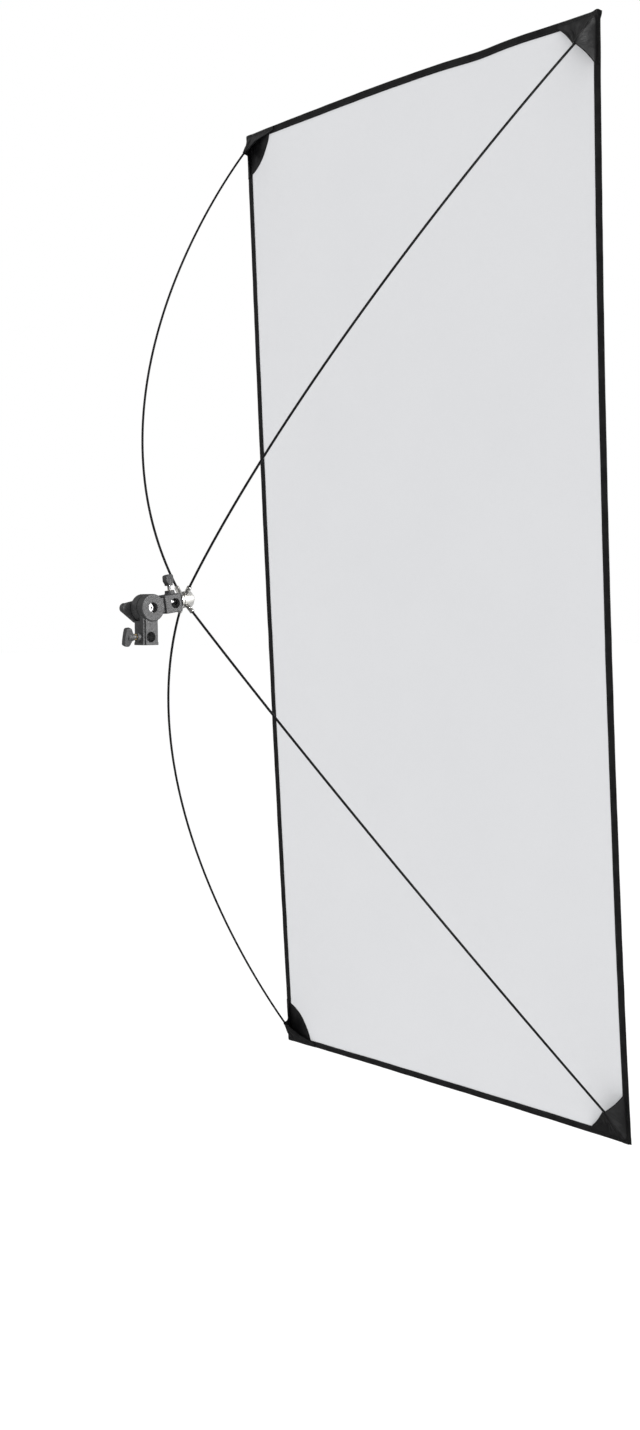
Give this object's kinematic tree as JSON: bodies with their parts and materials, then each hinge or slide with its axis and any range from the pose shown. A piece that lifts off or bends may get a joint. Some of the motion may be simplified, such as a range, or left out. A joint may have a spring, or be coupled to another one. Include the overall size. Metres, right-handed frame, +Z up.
{
  "type": "flat reflector panel with tilt bracket",
  "caption": "Tall flat fabric light panel held taut by sprung rods from a small turned hub, on a tilting clamp bracket that takes a light stand's stud.",
  "frame": {"origin": "centre of the stud socket's mouth, at the bottom of the bracket's stem", "axes": "+Z up along the stand stud's axis, +X from the bracket towards the panel, +Y to the panel's left as seen from the bracket"},
  "size_m": [0.6794, 0.9, 1.8032],
  "materials": {
    "moulding": "matt dark grey moulded plastic with a fine grain",
    "chrome": "bright plated",
    "nickel": "satin nickel plate with turning marks",
    "brass": "plain turned",
    "steel": "zinc plated",
    "rubber": "soft black",
    "fibreglass": "black pultruded rod, semi gloss",
    "nylon": "black coated nylon with a soft sheen",
    "binding": "black woven tape, stitched",
    "fabric": "pale cool white plain weave, matt"
  },
  "bodies": {
    "bracket": {"bracket_body": "moulding", "lock_insert": "brass", "tilt_bolt": "chrome", "friction_washer": "rubber"},
    "tilt_lever": {"tilt_lever": "moulding", "lever_insert": "brass", "lever_washer": "steel"},
    "stud_lock": {"lock_knob": "moulding", "lock_screw": "chrome"},
    "arm": {"arm_body": "moulding", "arm_insert": "brass"},
    "thumbscrew": {"thumb_knob": "moulding", "thumb_screw": "chrome"},
    "head": {"hub_body": "nickel", "hub_spigot": "chrome", "hub_washer": "steel", "hub_cap": "moulding", "ferrule_top_left": "nickel", "ferrule_top_right": "nickel", "ferrule_bottom_left": "nickel", "ferrule_bottom_right": "nickel", "rod_top_left": "fibreglass", "rod_top_right": "fibreglass", "rod_bottom_left": "fibreglass", "rod_bottom_right": "fibreglass", "rod_tip_top_left": "rubber", "rod_tip_top_right": "rubber", "rod_tip_bottom_left": "rubber", "rod_tip_bottom_right": "rubber", "pocket_top_left": "nylon", "pocket_top_right": "nylon", "pocket_bottom_left": "nylon", "pocket_bottom_right": "nylon", "panel_fabric": "fabric", "hem_left": "binding", "hem_right": "binding", "hem_top": "binding", "hem_bottom": "binding"}
  },
  "joints": [
    {"name": "arm_tilt", "type": "hinge", "parent": "bracket", "child": "arm", "pos_m": [0.0037, 0, 0.0587], "axis": [0, -1, 0], "range_deg": [-32, 82]},
    {"name": "head_roll", "type": "hinge", "parent": "arm", "child": "head", "pos_m": [0.0595, 0, 0.06919], "axis": [0.9912, 0, 0.1326], "continuous": true},
    {"name": "lever_turn", "type": "hinge", "parent": "bracket", "child": "tilt_lever", "pos_m": [0.0037, 0.02, 0.0587], "axis": [0, 1, 0], "continuous": true},
    {"name": "lock_turn", "type": "hinge", "parent": "bracket", "child": "stud_lock", "pos_m": [-0.027, 0, 0.013], "axis": [-1, 0, 0], "continuous": true},
    {"name": "thumb_turn", "type": "hinge", "parent": "arm", "child": "thumbscrew", "pos_m": [0.04373, 0, 0.09432], "axis": [-0.1326, 0, 0.9912], "continuous": true}
  ]
}
